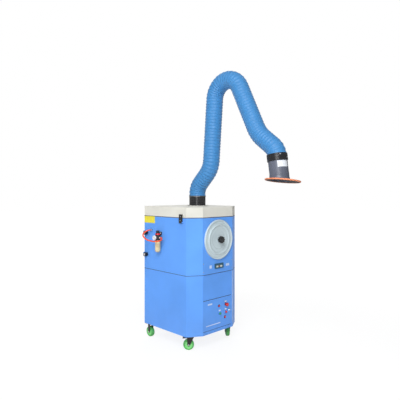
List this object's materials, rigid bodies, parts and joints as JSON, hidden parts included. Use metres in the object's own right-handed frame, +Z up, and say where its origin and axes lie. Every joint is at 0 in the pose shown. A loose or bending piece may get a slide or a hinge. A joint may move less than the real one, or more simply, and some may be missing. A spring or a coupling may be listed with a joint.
{
  "type": "mobile welding fume extractor",
  "caption": "Mobile fume extractor: steel cabinet on casters with filter, fan and controls, and a jointed suction arm in a ribbed hose with a small hood.",
  "frame": {"origin": "on the floor, under the middle of the object's box without the loose air hose", "axes": "+Z up; the control panel and the hood face -Y; +X is to the right as seen from the front"},
  "size_m": [0.8159, 1.6004, 2.5609],
  "materials": {
    "cabinet_blue": "satin powder coat",
    "lid_cream": "satin powder coat",
    "cover_grey": "satin paint on spun aluminium",
    "bare_steel": "zinc plated sheet",
    "arm_aluminium": "drawn tube",
    "dark_paint": "dark grey paint",
    "hood_grey": "dark grey paint",
    "black_plastic": "moulded black",
    "black_metal": "black paint",
    "black_alloy": "black paint",
    "green_tyre": "green polyurethane",
    "filter_media": "pleated media",
    "hose_fabric": "coated fabric over a wire helix",
    "rim_orange": "edge trim",
    "air_tube": "polyurethane tube",
    "bowl_amber": "clear amber",
    "brass": "bright",
    "lens_red": "red",
    "cap_green": "green",
    "display_teal": "teal frame",
    "gauge_white": "white dial"
  },
  "bodies": {
    "cabinet": {"base_pan": "cabinet_blue", "lower_shell": "cabinet_blue", "middle_deck": "bare_steel", "upper_shell": "cabinet_blue", "front_cover": "cabinet_blue", "tube_sheet": "bare_steel", "filter_cartridge": "filter_media", "air_tank": "hood_grey", "fan_housing": "dark_paint", "fan_motor": "hood_grey", "rear_hinge_lower": "black_metal", "rear_hinge_upper": "black_metal", "display_panel": "display_teal", "cable_gland": "black_plastic", "regulator_body": "black_alloy", "regulator_bowl": "bowl_amber", "pressure_gauge": "gauge_white", "bulkhead_fitting": "brass", "air_hose": "air_tube", "caster_plate_left": "bare_steel", "caster_plate_right": "bare_steel", "rigid_caster_left": "black_metal", "rigid_caster_right": "black_metal"},
    "fan": {"fan_wheel": "arm_aluminium"},
    "cover": {"filter_cover": "cover_grey"},
    "cover_knob": {"star_knob": "black_plastic", "knob_insert": "brass"},
    "drawer": {"dust_drawer": "cabinet_blue"},
    "rear_door": {"rear_door": "cabinet_blue"},
    "rear_handle": {"rear_door_handle": "black_plastic"},
    "control_door": {"control_door": "cabinet_blue", "power_lamp": "lens_red", "alarm_lamp": "lens_red"},
    "start": {"start_button": "cap_green"},
    "stop": {"stop_button": "lens_red"},
    "estop": {"emergency_stop": "lens_red"},
    "lock": {"door_lock": "bare_steel"},
    "adjuster": {"regulator_knob": "black_plastic"},
    "lid": {"lid": "lid_cream", "arm_collar": "black_alloy"},
    "latch_left": {"latch_left": "black_metal"},
    "latch_right": {"latch_right": "black_metal"},
    "swivel": {"swivel_ring": "black_alloy", "hose_clamp_lower": "bare_steel"},
    "lower_arm": {"lower_arm": "arm_aluminium", "hose_lower": "hose_fabric"},
    "upper_arm": {"upper_arm": "arm_aluminium", "hose_middle": "hose_fabric"},
    "wrist": {"wrist_collar": "black_alloy", "hose_upper": "hose_fabric"},
    "hood": {"hood": "hood_grey", "hood_rim": "rim_orange"},
    "fork_left": {"caster_fork_left": "black_metal"},
    "wheel_front_left": {"caster_wheel_front_left": "green_tyre"},
    "pedal_left": {"brake_pedal_left": "black_metal"},
    "wheel_rear_left": {"caster_wheel_rear_left": "green_tyre"},
    "fork_right": {"caster_fork_right": "black_metal"},
    "wheel_front_right": {"caster_wheel_front_right": "green_tyre"},
    "pedal_right": {"brake_pedal_right": "black_metal"},
    "wheel_rear_right": {"caster_wheel_rear_right": "green_tyre"}
  },
  "joints": [
    {"name": "fan_spin", "type": "hinge", "parent": "cabinet", "child": "fan", "pos_m": [0.02785, 0.62519, 0.5977], "axis": [0, 0, 1], "continuous": true},
    {"name": "filter_cover_pull", "type": "slide", "parent": "cabinet", "child": "cover", "axis": [0, -1, 0], "range_m": [0, 0.12]},
    {"name": "star_knob_turn", "type": "hinge", "parent": "cover", "child": "cover_knob", "pos_m": [0.02785, 0.06989, 1.002], "axis": [0, -1, 0], "continuous": true},
    {"name": "dust_drawer_slide", "type": "slide", "parent": "cabinet", "child": "drawer", "axis": [1, 0, 0], "range_m": [0, 0.34]},
    {"name": "rear_door_hinge", "type": "hinge", "parent": "cabinet", "child": "rear_door", "pos_m": [-0.30895, 0.77719, 0], "axis": [0, 0, 1], "range_deg": [0, 110]},
    {"name": "rear_handle_turn", "type": "hinge", "parent": "rear_door", "child": "rear_handle", "pos_m": [0.30105, 0.77019, 0.9535], "axis": [0, 1, 0], "range_deg": [0, 90]},
    {"name": "control_door_hinge", "type": "hinge", "parent": "cabinet", "child": "control_door", "pos_m": [-0.17215, 0.07019, 0], "axis": [0, 0, 1], "range_deg": [-105, 0]},
    {"name": "start_button_press", "type": "slide", "parent": "control_door", "child": "start", "axis": [0, 1, 0], "range_m": [0, 0.004], "stiffness_N_per_m": 600},
    {"name": "stop_button_press", "type": "slide", "parent": "control_door", "child": "stop", "axis": [0, 1, 0], "range_m": [0, 0.004], "stiffness_N_per_m": 600},
    {"name": "emergency_stop_press", "type": "slide", "parent": "control_door", "child": "estop", "axis": [0, 1, 0], "range_m": [0, 0.004], "stiffness_N_per_m": 900},
    {"name": "door_lock_turn", "type": "hinge", "parent": "control_door", "child": "lock", "pos_m": [0.18385, 0.07019, 0.308], "axis": [0, 1, 0], "range_deg": [0, 90]},
    {"name": "regulator_adjust", "type": "hinge", "parent": "cabinet", "child": "adjuster", "pos_m": [-0.34715, 0.50919, 1.0553], "axis": [0, 0, 1], "continuous": true},
    {"name": "lid_hinge", "type": "hinge", "parent": "cabinet", "child": "lid", "pos_m": [0.02785, 0.77019, 1.215], "axis": [-1, 0, 0], "range_deg": [0, 35]},
    {"name": "latch_left_swing", "type": "hinge", "parent": "cabinet", "child": "latch_left", "pos_m": [-0.31715, 0.21519, 1.171], "axis": [0, -1, 0], "range_deg": [0, 105]},
    {"name": "latch_right_swing", "type": "hinge", "parent": "cabinet", "child": "latch_right", "pos_m": [0.37285, 0.21519, 1.171], "axis": [0, 1, 0], "range_deg": [0, 105]},
    {"name": "arm_swivel", "type": "hinge", "parent": "lid", "child": "swivel", "pos_m": [0.02785, 0.35119, 1.402], "axis": [0, 0, 1], "continuous": true},
    {"name": "shoulder_tilt", "type": "hinge", "parent": "swivel", "child": "lower_arm", "pos_m": [0.02785, 0.35119, 1.431], "axis": [1, 0, 0], "range_deg": [-20, 25], "deforming": ["hose_lower"]},
    {"name": "elbow_bend", "type": "hinge", "parent": "lower_arm", "child": "upper_arm", "pos_m": [0.02785, -0.01763, 2.47746], "axis": [1, 0, 0], "range_deg": [-30, 10], "deforming": ["hose_middle"]},
    {"name": "wrist_tilt", "type": "hinge", "parent": "upper_arm", "child": "wrist", "pos_m": [0.02785, -0.54903, 1.83358], "axis": [1, 0, 0], "range_deg": [-30, 30], "deforming": ["hose_upper"]},
    {"name": "hood_turn", "type": "hinge", "parent": "wrist", "child": "hood", "pos_m": [0.02785, -0.59685, 1.74394], "axis": [0, -0.1392, -0.9903], "range_deg": [-90, 90]},
    {"name": "caster_swivel_left", "type": "hinge", "parent": "cabinet", "child": "fork_left", "pos_m": [-0.22415, 0.17219, 0], "axis": [0, 0, 1], "continuous": true},
    {"name": "wheel_front_spin_left", "type": "hinge", "parent": "fork_left", "child": "wheel_front_left", "pos_m": [-0.24195, 0.18975, 0.05], "axis": [0.7021, 0.712, 0], "continuous": true},
    {"name": "brake_pedal_press_left", "type": "hinge", "parent": "fork_left", "child": "pedal_left", "pos_m": [-0.24658, 0.19431, 0.1124], "axis": [-0.7021, -0.712, 0], "range_deg": [0, 8]},
    {"name": "wheel_rear_spin_left", "type": "hinge", "parent": "cabinet", "child": "wheel_rear_left", "pos_m": [-0.26515, 0.72619, 0.05], "axis": [1, 0, 0], "continuous": true},
    {"name": "caster_swivel_right", "type": "hinge", "parent": "cabinet", "child": "fork_right", "pos_m": [0.27985, 0.17219, 0], "axis": [0, 0, 1], "continuous": true},
    {"name": "wheel_front_spin_right", "type": "hinge", "parent": "fork_right", "child": "wheel_front_right", "pos_m": [0.29419, 0.19267, 0.05], "axis": [0.8191, -0.5736, 0], "continuous": true},
    {"name": "brake_pedal_press_right", "type": "hinge", "parent": "fork_right", "child": "pedal_right", "pos_m": [0.29792, 0.198, 0.1124], "axis": [-0.8191, 0.5736, 0], "range_deg": [0, 8]},
    {"name": "wheel_rear_spin_right", "type": "hinge", "parent": "cabinet", "child": "wheel_rear_right", "pos_m": [0.32085, 0.72619, 0.05], "axis": [1, 0, 0], "continuous": true}
  ],
  "couplings": [
    {"joint": "latch_left_swing", "follows": "lid_hinge", "ratio": 3},
    {"joint": "latch_right_swing", "follows": "lid_hinge", "ratio": 3}
  ]
}
